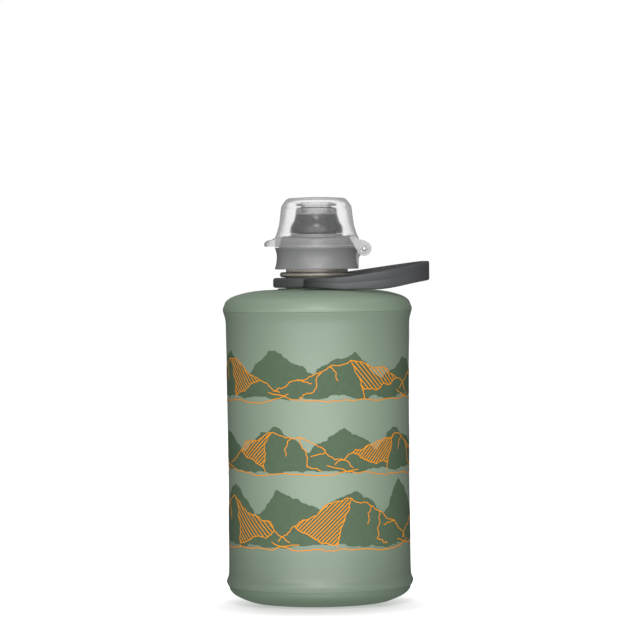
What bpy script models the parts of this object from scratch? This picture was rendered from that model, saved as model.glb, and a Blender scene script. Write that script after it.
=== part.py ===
"""Collapsible half-litre drinking bottle with a flip-over carry loop and a hinged dust cover.

The bottle stands on its base: the origin is the centre of the flat foot, +Z is up the bottle's
axis, and +X points to the side where the carry loop lies and the dust cover is hinged.
Lengths below are millimetres and become metres where a mesh is made.
"""
import math

import bmesh
import bpy

MM = 0.001
MERGE_DISTANCE = 1e-7
BODY_STEPS = 32
SMALL_STEPS = 28
FINE_STEPS = 20
SMOOTH_ANGLE = math.radians(35)
GAP = 0.3

# Base and film sleeve
FOOT_RADIUS = 24.0
BASE_WALL = 1.8
BASE_RADIUS = 37.1
BASE_SEAM_Z = 6.7
BASE_FLANGE_RADIUS = 35.9
BASE_FLANGE_WALL = 0.9
BASE_FLANGE_TOP = 12.0
SLEEVE_WALL = 0.8
SLEEVE_FOOT_Z = BASE_SEAM_Z + GAP
SLEEVE_TOP_Z = 118.6
SLEEVE_WAIST_RADIUS = 36.9

# Shoulder
SHOULDER_RIM_RADIUS = 38.5
SHOULDER_RIM_Z = SLEEVE_TOP_Z + GAP
SHOULDER_FLANGE_RADIUS = 36.1
SHOULDER_FLANGE_BOTTOM = 112.0
SHOULDER_TOP_Z = 127.4
SHOULDER_WALL = 1.1
COLLAR_RADIUS = 15.7
COLLAR_TOP_Z = 128.0

# Neck and its thread
NECK_RADIUS = 12.6
NECK_BORE = 10.9
NECK_FLANGE_RADIUS = 18.0
NECK_FLANGE_WALL = 1.2
BEAD_RADIUS = 15.1
BEAD_BOTTOM_Z = 132.6
BEAD_TOP_Z = 134.6
NECK_LIP_Z = 145.3
THREAD_PITCH = 4.0
THREAD_START_Z = 137.4
THREAD_CREST = 13.7
THREAD_ROOT_WIDTH = 1.9
THREAD_CREST_WIDTH = 1.0
THREAD_TURNS = 1.5

# Carry strap: a ring that turns on the neck and a loop on two blind trunnions
RING_BORE = NECK_RADIUS + 0.35
RING_RADIUS = 17.9
RING_BOTTOM_Z = COLLAR_TOP_Z + GAP
RING_TOP_Z = BEAD_BOTTOM_Z - GAP
RING_ROUND = 0.9
TRUNNION_X = -3.6
TRUNNION_Z = 130.1
TRUNNION_RADIUS = 0.95
TRUNNION_REACH = 19.6
EYE_RADIUS = 1.85
EYE_BORE = TRUNNION_RADIUS + 0.08
EYE_BORE_REACH = 19.9
STRAND_THICKNESS = 2.3
STRAND_ROOT_OFFSET = 19.4
STRAND_WIDE_OFFSET = 21.2
STRAND_FLAT_END_X = -1.0
STRAND_WIDE_X = 13.5
LOOP_TIP_X = 44.65
STRAND_CHAMFER = 0.5
STRAND_BOTTOM_Z = 128.25
STRAND_TIP_LIFT = 2.7
STRAND_ROOT_TOP = 132.1
STRAND_TOP_RISE = 6.7
STRAND_RISE_LENGTH = 49.4

# Screw cap
CAP_BOTTOM_Z = 135.8
CAP_SKIRT_RADIUS = 17.1
CAP_WAIST_RADIUS = 16.3
CAP_WAIST_Z = 140.5
CAP_SHOULDER_RADIUS = 17.0
CAP_SHOULDER_Z = 144.7
CAP_CONE_FOOT = 15.4
CAP_CONE_TOP = 14.4
CAP_DECK_Z = 148.4
CAP_BORE = 14.3
CAP_THREAD_CREST = 13.05
CAP_CEILING_Z = 147.0
TURRET_RADIUS = 10.6
TURRET_TOP_Z = 150.0
SOCKET_BORE = 8.0
SOCKET_RADIUS = 10.3
SOCKET_FLOOR_Z = 143.2
SOCKET_FLOOR_WALL = 1.0
SNAP_GROOVE_RADIUS = 8.6
SNAP_GROOVE_LOW = 144.9
SNAP_GROOVE_HIGH = 146.1
GASKET_INNER = 10.9
GASKET_OUTER = 13.3
GASKET_BOTTOM_Z = NECK_LIP_Z + GAP
GASKET_TOP_Z = CAP_CEILING_Z - GAP

# Quarter-turn drinking spout
INSERT_RADIUS = SOCKET_BORE - 0.08
INSERT_BORE = 6.2
INSERT_BOTTOM_Z = 144.5
INSERT_FLOOR_WALL = 1.0
SNAP_BEAD_RADIUS = 8.3
SEAL_GROOVE_RADIUS = 6.9
SEAL_GROOVE_LOW = 147.2
SEAL_GROOVE_HIGH = 148.7
INSERT_FLANGE_RADIUS = 9.4
INSERT_FLANGE_LOW = 151.3
INSERT_FLANGE_HIGH = 152.3
SEAL_RING_CENTRE = 7.45
SEAL_RING_SECTION = 0.45
SEAL_RING_Z = 147.95
VALVE_RADIUS = 9.0
VALVE_LOW = 152.6
VALVE_HIGH = 153.4
VALVE_DOME = 0.5
SLIT_LENGTH = 7.0
SLIT_WIDTH = 0.3
PORT_RADIUS = 5.2
PORT_SPREAD = math.radians(70)
NOZZLE_BOTTOM_Z = 150.4
NOZZLE_TOP_Z = 161.1
NOZZLE_FLARE_RADIUS = 10.7
NOZZLE_MOUTH_RADIUS = 8.2
MOUTH_BORE = 6.5

# Clear dust cover and its hinge
COVER_RIM_Z = CAP_SHOULDER_Z + GAP
COVER_RIM_RADIUS = 17.35
COVER_WALL = 1.6
COVER_STEP_Z = 148.5
COVER_WAIST_RADIUS = 14.25
COVER_WAIST_Z = 160.0
COVER_TOP_Z = 165.1
COVER_CEILING_Z = 163.6
PLUG_RADIUS = MOUTH_BORE - GAP
PLUG_BORE = 4.9
PLUG_BOTTOM_Z = 158.7
HINGE_X = 19.25
HINGE_Z = 144.0
PIN_RADIUS = 0.78
PIN_HALF_LENGTH = 11.2
LUG_HALF_WIDTH = 3.0
BARREL_HALF_LENGTH = 7.6
LUG_RADIUS = 2.1
LUG_BORE = 0.86
EAR_INNER = BARREL_HALF_LENGTH + GAP
EAR_OUTER = 11.0
EAR_RADIUS = 3.0
EAR_BORE = 0.82
TAB_REACH = 21.3
TAB_HALF_WIDTH = 6.5
TAB_BOTTOM_Z = COVER_RIM_Z + 0.1
TAB_TOP_Z = 147.8

FINISHES = {
    "base_tpu": ((0.16, 0.21, 0.16), 0.45, 0.0, 1.0),
    "film": ((0.38, 0.47, 0.37), 0.5, 0.0, 1.0),
    "shoulder_tpu": ((0.33, 0.42, 0.33), 0.45, 0.0, 1.0),
    "clear_neck": ((0.62, 0.62, 0.58), 0.1, 0.0, 0.4),
    "strap": ((0.07, 0.072, 0.075), 0.55, 0.0, 1.0),
    "cap": ((0.30, 0.30, 0.30), 0.4, 0.0, 1.0),
    "gasket": ((0.75, 0.75, 0.72), 0.6, 0.0, 1.0),
    "insert": ((0.55, 0.55, 0.55), 0.4, 0.0, 1.0),
    "nozzle": ((0.18, 0.18, 0.18), 0.35, 0.0, 0.9),
    "valve": ((0.6, 0.6, 0.6), 0.5, 0.0, 0.8),
    "clear_cover": ((0.9, 0.92, 0.92), 0.05, 0.0, 0.3),
    "steel": ((0.6, 0.6, 0.6), 0.3, 1.0, 1.0),
}


def clear_scene():
    """Remove whatever the file starts with."""
    for thing in list(bpy.data.objects):
        bpy.data.objects.remove(thing, do_unlink=True)


def finish(slot):
    """The material of one slot, made on first use."""
    found = bpy.data.materials.get(slot)
    if found:
        return found
    colour, roughness, metallic, alpha = FINISHES[slot]
    made = bpy.data.materials.new(slot)
    made.use_nodes = True
    shader = made.node_tree.nodes["Principled BSDF"]
    shader.inputs["Base Color"].default_value = (*colour, 1.0)
    shader.inputs["Roughness"].default_value = roughness
    shader.inputs["Metallic"].default_value = metallic
    shader.inputs["Alpha"].default_value = alpha
    return made


def to_object(name, mesh, slot):
    """Close a bmesh into a named object with its material and smooth round faces."""
    bmesh.ops.remove_doubles(mesh, verts=mesh.verts, dist=MERGE_DISTANCE)
    bmesh.ops.recalc_face_normals(mesh, faces=mesh.faces)
    data = bpy.data.meshes.new(name)
    mesh.to_mesh(data)
    mesh.free()
    data.shade_smooth()
    data.set_sharp_from_angle(angle=SMOOTH_ANGLE)
    made = bpy.data.objects.new(name, data)
    bpy.context.collection.objects.link(made)
    if slot:
        data.materials.append(finish(slot))
    return made


def as_cutter(thing):
    """Mark an object that only shapes another one."""
    thing.hide_render = True
    thing.display_type = "WIRE"
    return thing


def combine(target, tool, operation):
    """Join a tool to a target, or cut it out, and keep the result as the target's mesh."""
    as_cutter(tool)
    step = target.modifiers.new(operation.lower(), "BOOLEAN")
    step.operation = operation
    step.solver = "EXACT"
    step.object = tool
    graph = bpy.context.evaluated_depsgraph_get()
    graph.update()
    result = bpy.data.meshes.new_from_object(target.evaluated_get(graph))
    target.modifiers.clear()
    old = target.data
    target.data = result
    bpy.data.meshes.remove(old)
    bpy.data.objects.remove(tool, do_unlink=True)
    result.shade_smooth()
    result.set_sharp_from_angle(angle=SMOOTH_ANGLE)
    return target


def add_to(target, *tools):
    """Join tools to a target."""
    for tool in tools:
        combine(target, tool, "UNION")
    return target


def cut_from(target, *tools):
    """Cut tools out of a target."""
    for tool in tools:
        combine(target, tool, "DIFFERENCE")
    return target


def turned(name, outline, slot, steps=SMALL_STEPS):
    """Turn an outline of (radius, height) points round the bottle's axis.

    An outline that starts and ends on the axis stays open there, any other one is closed.
    """
    mesh = bmesh.new()
    verts = [mesh.verts.new((r * MM, 0.0, z * MM)) for r, z in outline]
    on_axis = outline[0][0] == 0.0 and outline[-1][0] == 0.0
    ends = [] if on_axis else [(verts[-1], verts[0])]
    edges = [mesh.edges.new(pair) for pair in list(zip(verts, verts[1:])) + ends]
    bmesh.ops.spin(
        mesh,
        geom=verts + edges,
        axis=(0, 0, 1),
        cent=(0, 0, 0),
        steps=steps,
        angle=2 * math.pi,
        use_merge=True,
    )
    return to_object(name, mesh, slot)


def arc(centre_r, centre_z, radius, start, end, steps):
    """Points on an arc of an outline, with its angles in degrees from the outward direction."""
    angles = [math.radians(start + (end - start) * i / steps) for i in range(steps + 1)]
    return [(centre_r + radius * math.cos(a), centre_z + radius * math.sin(a)) for a in angles]


def rod(name, radius, low_y, high_y, x, z, steps=FINE_STEPS, slot=None):
    """A round bar along Y."""
    mesh = bmesh.new()
    bmesh.ops.create_cone(
        mesh,
        cap_ends=True,
        segments=steps,
        radius1=radius * MM,
        radius2=radius * MM,
        depth=(high_y - low_y) * MM,
    )
    for vert in mesh.verts:
        across, up, along = vert.co.x, vert.co.y, vert.co.z
        middle = (low_y + high_y) / 2 * MM
        vert.co = (x * MM + across, middle + along, z * MM + up)
    return to_object(name, mesh, slot)


def prism(name, corners, low, high, upright, slot=None):
    """A straight prism. Its corners are (x, z) and it runs along Y, or (x, y) and it stands up."""
    mesh = bmesh.new()
    rings = []
    for level in (low, high):
        places = [(a, b, level) if upright else (a, level, b) for a, b in corners]
        rings.append([mesh.verts.new([v * MM for v in place]) for place in places])
    mesh.faces.new(rings[0])
    mesh.faces.new(rings[1])
    bottom, top = rings
    for i in range(len(corners)):
        j = (i + 1) % len(corners)
        mesh.faces.new((bottom[i], bottom[j], top[j], top[i]))
    return to_object(name, mesh, slot)


def swept(name, rings, slot=None):
    """Skin a row of matching rings of points, and close both ends."""
    mesh = bmesh.new()
    rows = [[mesh.verts.new([v * MM for v in point]) for point in ring] for ring in rings]
    count = len(rows[0])
    for here, there in zip(rows, rows[1:]):
        for i in range(count):
            j = (i + 1) % count
            mesh.faces.new((here[i], here[j], there[j], there[i]))
    mesh.faces.new(rows[0])
    mesh.faces.new(rows[-1])
    return to_object(name, mesh, slot)


def ease(t):
    """A smooth step from 0 to 1."""
    t = min(max(t, 0.0), 1.0)
    return t * t * (3 - 2 * t)


def thread_ridge(name, root, crest, start, end, lead):
    """A helical ridge from one angle to another, with ends that fade into the wall.

    lead is how far the ridge lies above or below the neck's own thread.
    """
    sections = 44
    fade = 3
    rings = []
    for i in range(sections + 1):
        angle = start + (end - start) * i / sections
        height = THREAD_START_Z + lead + THREAD_PITCH * angle / (2 * math.pi)
        share = min(1.0, i / fade, (sections - i) / fade)
        top = root + (crest - root) * (0.15 + 0.85 * share)
        half_root = THREAD_ROOT_WIDTH / 2
        half_crest = THREAD_CREST_WIDTH / 2
        corners = [(root, -half_root), (top, -half_crest), (top, half_crest), (root, half_root)]
        rings.append(
            [(r * math.cos(angle), r * math.sin(angle), height + dz) for r, dz in corners]
        )
    return swept(name, rings)


def base_cup():
    """The moulded foot: a flat disc, a rounded chamfer and a flange that the film is welded to."""
    inner = BASE_FLANGE_RADIUS - BASE_FLANGE_WALL
    outline = [
        (0.0, 0.0),
        (FOOT_RADIUS, 0.0),
        (27.8, 0.5),
        (31.2, 1.7),
        (34.2, 3.1),
        (35.9, 4.4),
        (36.8, 5.7),
        (BASE_RADIUS, BASE_SEAM_Z),
        (BASE_FLANGE_RADIUS, BASE_SEAM_Z),
        (BASE_FLANGE_RADIUS, BASE_FLANGE_TOP),
        (inner, BASE_FLANGE_TOP),
        (inner, 6.6),
        (33.2, 4.9),
        (30.2, 3.4),
        (26.5, 2.2),
        (FOOT_RADIUS - 1.0, BASE_WALL),
        (0.0, BASE_WALL),
    ]
    return turned("base_cup", outline, "base_tpu", BODY_STEPS)


def sleeve():
    """The film tube: a weld bead at the foot, a slight waist, and a flare up to the shoulder."""
    outer = [
        (37.3, SLEEVE_FOOT_Z),
        (37.85, 8.0),
        (38.05, 8.8),
        (37.8, 9.8),
        (37.3, 11.2),
        (37.0, 22.0),
        (SLEEVE_WAIST_RADIUS, 44.0),
        (37.05, 78.0),
        (37.3, 98.0),
        (37.5, 114.8),
        (37.75, 116.4),
        (38.25, 118.1),
        (38.3, SLEEVE_TOP_Z),
    ]
    inner = [
        (36.45, SLEEVE_TOP_Z),
        (36.45, 111.0),
        (37.3 - SLEEVE_WALL, 98.0),
        (37.05 - SLEEVE_WALL, 78.0),
        (SLEEVE_WAIST_RADIUS - SLEEVE_WALL, 44.0),
        (BASE_FLANGE_RADIUS + GAP, 13.0),
        (BASE_FLANGE_RADIUS + GAP, SLEEVE_FOOT_Z),
    ]
    return turned("sleeve", outer + inner, "film", BODY_STEPS)


def shoulder():
    """The moulded shoulder: a rim, a flange inside the film, a domed top and a collar."""
    hole = NECK_RADIUS + GAP
    outer = [
        (SHOULDER_RIM_RADIUS - 0.5, SHOULDER_RIM_Z),
        (SHOULDER_RIM_RADIUS, 119.4),
        (SHOULDER_RIM_RADIUS, 120.2),
        (38.1, 121.4),
        (37.3, 122.9),
        (36.0, 124.0),
        (34.0, 125.1),
        (30.5, 126.2),
        (25.0, 127.1),
        (19.5, SHOULDER_TOP_Z),
        (COLLAR_RADIUS + 0.4, SHOULDER_TOP_Z),
        (COLLAR_RADIUS, COLLAR_TOP_Z),
        (hole, COLLAR_TOP_Z),
    ]
    inner = [
        (hole, SHOULDER_TOP_Z - SHOULDER_WALL),
        (24.5, 126.0),
        (30.0, 125.0),
        (33.4, 123.9),
        (35.3, 122.4),
        (35.2, SHOULDER_FLANGE_BOTTOM),
        (SHOULDER_FLANGE_RADIUS, SHOULDER_FLANGE_BOTTOM),
        (SHOULDER_FLANGE_RADIUS, SHOULDER_RIM_Z),
    ]
    return turned("shoulder", outer + inner, "shoulder_tpu", BODY_STEPS)


def neck():
    """The clear neck: a flange under the shoulder, a bead over the strap ring and a thread."""
    top = SHOULDER_TOP_Z - SHOULDER_WALL - GAP
    outline = [
        (NECK_FLANGE_RADIUS, top - NECK_FLANGE_WALL),
        (NECK_FLANGE_RADIUS, top),
        (NECK_RADIUS, top),
        (NECK_RADIUS, BEAD_BOTTOM_Z - 0.2),
        (BEAD_RADIUS - 0.6, BEAD_BOTTOM_Z),
        (BEAD_RADIUS, BEAD_BOTTOM_Z + 0.5),
        (BEAD_RADIUS, BEAD_TOP_Z - 0.4),
        (BEAD_RADIUS - 0.4, BEAD_TOP_Z),
        (NECK_RADIUS, BEAD_TOP_Z),
        (NECK_RADIUS, NECK_LIP_Z - 0.4),
        (NECK_RADIUS - 0.4, NECK_LIP_Z),
        (NECK_BORE, NECK_LIP_Z),
        (NECK_BORE, top),
        (NECK_BORE + 1.0, top - NECK_FLANGE_WALL),
    ]
    made = turned("neck", outline, "clear_neck")
    sweep = 2 * math.pi * THREAD_TURNS
    return add_to(made, thread_ridge("thread", NECK_RADIUS - 0.4, THREAD_CREST, 0.0, sweep, 0.0))


def strap_ring():
    """The ring that turns on the neck, with a blind trunnion on each side for the loop."""
    inset = RING_RADIUS - RING_ROUND
    outline = [(RING_BORE, RING_TOP_Z), (RING_BORE, RING_BOTTOM_Z)]
    outline += arc(inset, RING_BOTTOM_Z + RING_ROUND, RING_ROUND, -90, 0, 3)
    outline += arc(inset, RING_TOP_Z - RING_ROUND, RING_ROUND, 0, 90, 3)
    made = turned("strap_ring", outline, "strap")
    for side in (-1, 1):
        ends = sorted((side * (RING_RADIUS - 2.0), side * TRUNNION_REACH))
        pin = rod("trunnion", TRUNNION_RADIUS, *ends, TRUNNION_X, TRUNNION_Z)
        add_to(made, pin)
    return made


def strand_bottom(x):
    """The lower edge of the loop, which lifts towards the tip."""
    return STRAND_BOTTOM_Z + STRAND_TIP_LIFT * ease((x - 24.0) / 21.8)


def strand_top(x):
    """The upper edge of the loop, which climbs to a wide grip at the tip."""
    share = max(0.0, x - TRUNNION_X) / STRAND_RISE_LENGTH
    return STRAND_ROOT_TOP + STRAND_TOP_RISE * share**1.25


def strand_offset(x):
    """Half the loop's width at its centreline, seen from above."""
    if x < STRAND_WIDE_X:
        share = ease((x - STRAND_FLAT_END_X) / (STRAND_WIDE_X - STRAND_FLAT_END_X))
        return STRAND_ROOT_OFFSET + (STRAND_WIDE_OFFSET - STRAND_ROOT_OFFSET) * share
    reach = (x - STRAND_WIDE_X) / (LOOP_TIP_X - STRAND_WIDE_X)
    return STRAND_WIDE_OFFSET * math.sqrt(max(0.0, 1 - reach * reach))


def loop_route():
    """Places (x, y) along the loop's centreline, from one trunnion round the tip to the other."""
    eye = [TRUNNION_X + EYE_RADIUS * math.cos(math.radians(a)) for a in (172, 150, 120, 90)]
    arms = [STRAND_FLAT_END_X, 2.5, 6.0, 9.5]
    side = [(x, strand_offset(x)) for x in eye + arms]
    steps = 11
    for i in range(steps + 1):
        angle = math.radians(90 - 90 * i / steps)
        x = STRAND_WIDE_X + (LOOP_TIP_X - STRAND_WIDE_X) * math.cos(angle)
        side.append((x, STRAND_WIDE_OFFSET * math.sin(angle)))
    mirrored = [(x, -y) for x, y in reversed(side[:-1])]
    return side + mirrored


def loop_section(x, y, across):
    """A chamfered upright section of the loop, at one place on its route."""
    low, high = strand_bottom(x), strand_top(x)
    if x < TRUNNION_X:
        half = math.sqrt(EYE_RADIUS**2 - (x - TRUNNION_X) ** 2)
        low, high = TRUNNION_Z - half, TRUNNION_Z + half
    half = STRAND_THICKNESS / 2
    bevel = min(STRAND_CHAMFER, (high - low) / 4)
    corners = [
        (-half, low + bevel),
        (-half + bevel, low),
        (half - bevel, low),
        (half, low + bevel),
        (half, high - bevel),
        (half - bevel, high),
        (-half + bevel, high),
        (-half, high - bevel),
    ]
    return [(x + across[0] * a, y + across[1] * a, z) for a, z in corners]


def bail_loop():
    """The carry loop: a soft band on edge, with an eye at each end that turns on a trunnion."""
    route = loop_route()
    rings = []
    for i, (x, y) in enumerate(route):
        before = route[max(i - 1, 0)]
        after = route[min(i + 1, len(route) - 1)]
        dx, dy = after[0] - before[0], after[1] - before[1]
        length = math.hypot(dx, dy)
        across = (-dy / length, dx / length)
        if x < STRAND_FLAT_END_X + 0.01:
            across = (0.0, 1.0 if y > 0 else -1.0)
        rings.append(loop_section(x, y, across))
    made = swept("bail_loop", rings, "strap")
    for side in (-1, 1):
        ends = sorted((side * (STRAND_ROOT_OFFSET - 3.0), side * EYE_BORE_REACH))
        cut_from(made, rod("eye_bore", EYE_BORE, *ends, TRUNNION_X, TRUNNION_Z))
    return made


def port_windows(name, low, high):
    """Two sector-shaped windows for the water, on opposite sides of the axis."""
    windows = []
    for turn in (0.0, math.pi):
        spread = [turn + PORT_SPREAD * (i / 6 - 0.5) for i in range(7)]
        rim = [(PORT_RADIUS * math.cos(a), PORT_RADIUS * math.sin(a)) for a in spread]
        back = [(1.2 * math.cos(a), 1.2 * math.sin(a)) for a in (spread[-1], spread[0])]
        windows.append(prism(name, rim + back, low, high, upright=True))
    return windows


def hinge_lug():
    """The block on the cap that holds the hinge barrel, with a flat pad down the skirt."""
    knuckle = arc(HINGE_X, HINGE_Z, LUG_RADIUS - 0.15, 90, -90, 12)
    root = [
        (HINGE_X - 1.2, 141.3),
        (CAP_SKIRT_RADIUS + 0.15, 140.4),
        (CAP_SKIRT_RADIUS, 139.4),
        (CAP_SKIRT_RADIUS, CAP_BOTTOM_Z + 0.5),
        (CAP_SKIRT_RADIUS - 0.4, CAP_BOTTOM_Z),
        (15.2, CAP_BOTTOM_Z),
        (15.2, 144.4),
        (16.6, 145.4),
    ]
    return prism("lug", knuckle + root, -LUG_HALF_WIDTH, LUG_HALF_WIDTH, upright=False)


def cap_shell():
    """The screw cap: a waisted skirt, a cone inside the cover, a turret and a spout socket."""
    outer = [
        (CAP_BORE + 0.3, CAP_BOTTOM_Z),
        (CAP_SKIRT_RADIUS - 0.4, CAP_BOTTOM_Z),
        (CAP_SKIRT_RADIUS, CAP_BOTTOM_Z + 0.5),
        (16.6, 138.2),
        (CAP_WAIST_RADIUS, CAP_WAIST_Z),
        (16.5, 142.6),
        (CAP_SHOULDER_RADIUS, CAP_SHOULDER_Z - 0.3),
        (CAP_SHOULDER_RADIUS - 0.3, CAP_SHOULDER_Z),
        (CAP_CONE_FOOT, CAP_SHOULDER_Z),
        (CAP_CONE_TOP, CAP_DECK_Z - 0.5),
        (CAP_CONE_TOP - 0.5, CAP_DECK_Z),
        (TURRET_RADIUS + 0.6, CAP_DECK_Z),
        (TURRET_RADIUS, CAP_DECK_Z + 0.6),
        (TURRET_RADIUS, TURRET_TOP_Z),
        (SOCKET_BORE, TURRET_TOP_Z),
        (SOCKET_BORE, SNAP_GROOVE_HIGH),
        (SNAP_GROOVE_RADIUS, SNAP_GROOVE_HIGH - 0.2),
        (SNAP_GROOVE_RADIUS, SNAP_GROOVE_LOW),
        (SOCKET_BORE, SNAP_GROOVE_LOW - 0.2),
        (SOCKET_BORE, SOCKET_FLOOR_Z + SOCKET_FLOOR_WALL),
        (0.0, SOCKET_FLOOR_Z + SOCKET_FLOOR_WALL),
    ]
    inner = [
        (0.0, SOCKET_FLOOR_Z),
        (SOCKET_RADIUS - 0.3, SOCKET_FLOOR_Z),
        (SOCKET_RADIUS, SOCKET_FLOOR_Z + 0.3),
        (SOCKET_RADIUS, CAP_CEILING_Z),
        (GASKET_OUTER + GAP, CAP_CEILING_Z),
        (GASKET_OUTER + GAP, 145.6),
        (CAP_BORE, 144.6),
        (CAP_BORE, CAP_BOTTOM_Z + 0.3),
    ]
    made = turned("cap_shell", list(reversed(inner)) + list(reversed(outer)), "cap")
    sweep = (math.pi, 3.4 * math.pi)
    ridge = thread_ridge("thread", CAP_BORE + 0.5, CAP_THREAD_CREST, *sweep, -THREAD_PITCH / 2)
    barrel = rod("barrel", LUG_RADIUS, -BARREL_HALF_LENGTH, BARREL_HALF_LENGTH, HINGE_X, HINGE_Z)
    add_to(made, ridge, hinge_lug(), barrel)
    reach = BARREL_HALF_LENGTH + 1
    cut_from(made, rod("lug_bore", LUG_BORE, -reach, reach, HINGE_X, HINGE_Z))
    floor_top = SOCKET_FLOOR_Z + SOCKET_FLOOR_WALL
    return cut_from(made, *port_windows("port", SOCKET_FLOOR_Z - 1, floor_top + 0.5))


def cap_gasket():
    """The flat silicone washer between the cap and the neck's lip."""
    outline = [
        (GASKET_OUTER, GASKET_BOTTOM_Z),
        (GASKET_OUTER, GASKET_TOP_Z),
        (GASKET_INNER, GASKET_TOP_Z),
        (GASKET_INNER, GASKET_BOTTOM_Z),
    ]
    return turned("cap_gasket", outline, "gasket")


def spout_insert():
    """The rigid tube that turns in the cap: its floor windows open and shut the water way."""
    floor = INSERT_BOTTOM_Z + INSERT_FLOOR_WALL
    outline = [
        (0.0, INSERT_BOTTOM_Z),
        (INSERT_RADIUS - 0.3, INSERT_BOTTOM_Z),
        (INSERT_RADIUS, INSERT_BOTTOM_Z + 0.3),
        (INSERT_RADIUS, 145.1),
        (SNAP_BEAD_RADIUS, 145.3),
        (SNAP_BEAD_RADIUS, 145.6),
        (INSERT_RADIUS, 145.8),
        (INSERT_RADIUS, SEAL_GROOVE_LOW),
        (SEAL_GROOVE_RADIUS, SEAL_GROOVE_LOW),
        (SEAL_GROOVE_RADIUS, SEAL_GROOVE_HIGH),
        (INSERT_RADIUS, SEAL_GROOVE_HIGH),
        (INSERT_RADIUS, INSERT_FLANGE_LOW),
        (INSERT_FLANGE_RADIUS, INSERT_FLANGE_LOW),
        (INSERT_FLANGE_RADIUS, INSERT_FLANGE_HIGH),
        (INSERT_BORE, INSERT_FLANGE_HIGH),
        (INSERT_BORE, floor),
        (0.0, floor),
    ]
    made = turned("spout_insert", outline, "insert")
    return cut_from(made, *port_windows("port", INSERT_BOTTOM_Z - 1, floor + 0.5))


def spout_seal():
    """The O-ring in the insert's groove."""
    section = arc(SEAL_RING_CENTRE, SEAL_RING_Z, SEAL_RING_SECTION, 0, 315, 7)
    return turned("spout_seal", section, "gasket", FINE_STEPS)


def slit_valve():
    """The silicone disc under the nozzle, slightly domed and cut with a cross slit."""
    half = SLIT_LENGTH / 2
    inner = VALVE_RADIUS - 2.0
    outline = [
        (0.0, VALVE_LOW + VALVE_DOME),
        (inner * 0.5, VALVE_LOW + VALVE_DOME * 0.75),
        (inner, VALVE_LOW),
        (VALVE_RADIUS, VALVE_LOW),
        (VALVE_RADIUS, VALVE_HIGH),
        (inner, VALVE_HIGH),
        (inner * 0.5, VALVE_HIGH + VALVE_DOME * 0.75),
        (0.0, VALVE_HIGH + VALVE_DOME),
    ]
    made = turned("slit_valve", outline, "valve", FINE_STEPS)
    thin = SLIT_WIDTH / 2
    cross = [
        (half, -thin),
        (half, thin),
        (thin, thin),
        (thin, half),
        (-thin, half),
        (-thin, thin),
        (-half, thin),
        (-half, -thin),
        (-thin, -thin),
        (-thin, -half),
        (thin, -half),
        (thin, -thin),
    ]
    return cut_from(made, prism("slit", cross, VALVE_LOW - 1, VALVE_HIGH + 2, upright=True))


def spout_nozzle():
    """The soft drinking nozzle, flared at its foot and gripped on the insert's flange."""
    outline = [
        (NOZZLE_FLARE_RADIUS - 0.3, NOZZLE_BOTTOM_Z),
        (NOZZLE_FLARE_RADIUS, NOZZLE_BOTTOM_Z + 0.5),
        (10.55, 153.0),
        (10.2, 154.1),
        (9.5, 155.3),
        (8.8, 156.9),
        (8.4, 159.0),
        (NOZZLE_MOUTH_RADIUS, NOZZLE_TOP_Z - 0.4),
        (NOZZLE_MOUTH_RADIUS - 0.4, NOZZLE_TOP_Z),
        (MOUTH_BORE + 0.3, NOZZLE_TOP_Z),
        (MOUTH_BORE, NOZZLE_TOP_Z - 0.4),
        (MOUTH_BORE, 157.3),
        (7.5, 155.4),
        (7.7, 154.6),
        (VALVE_RADIUS + 0.3, VALVE_HIGH + GAP),
        (VALVE_RADIUS + 0.3, INSERT_FLANGE_HIGH + GAP),
        (INSERT_FLANGE_RADIUS + 0.25, INSERT_FLANGE_HIGH + GAP),
        (INSERT_FLANGE_RADIUS + 0.25, INSERT_FLANGE_LOW - GAP),
        (INSERT_RADIUS + 0.3, INSERT_FLANGE_LOW - GAP),
        (INSERT_RADIUS + 0.3, NOZZLE_BOTTOM_Z),
    ]
    return turned("spout_nozzle", outline, "nozzle")


def cover_ear(side):
    """One of the cover's two hinge ears, a round eye with a gusset that runs up into the wall."""
    circle = arc(HINGE_X, HINGE_Z, EAR_RADIUS, 45, -151, 15)
    arm = [(13.3, 148.7), (15.6, 148.9), (17.2, 147.8), (19.6, 147.2)]
    ends = sorted((side * EAR_INNER, side * EAR_OUTER))
    return prism("ear", circle + arm, *ends, upright=False)


def thumb_tab():
    """The lifting tab on the side away from the hinge, with a round free edge."""
    reach = [math.radians(180 + a) for a in (-17, -11, -5.5, 0, 5.5, 11, 17)]
    rim = [(TAB_REACH * math.cos(a), TAB_REACH * math.sin(a)) for a in reach]
    root = [(-16.2, -TAB_HALF_WIDTH), (-16.2, TAB_HALF_WIDTH)]
    return prism("tab", rim + root, TAB_BOTTOM_Z, TAB_TOP_Z, upright=True)


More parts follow.
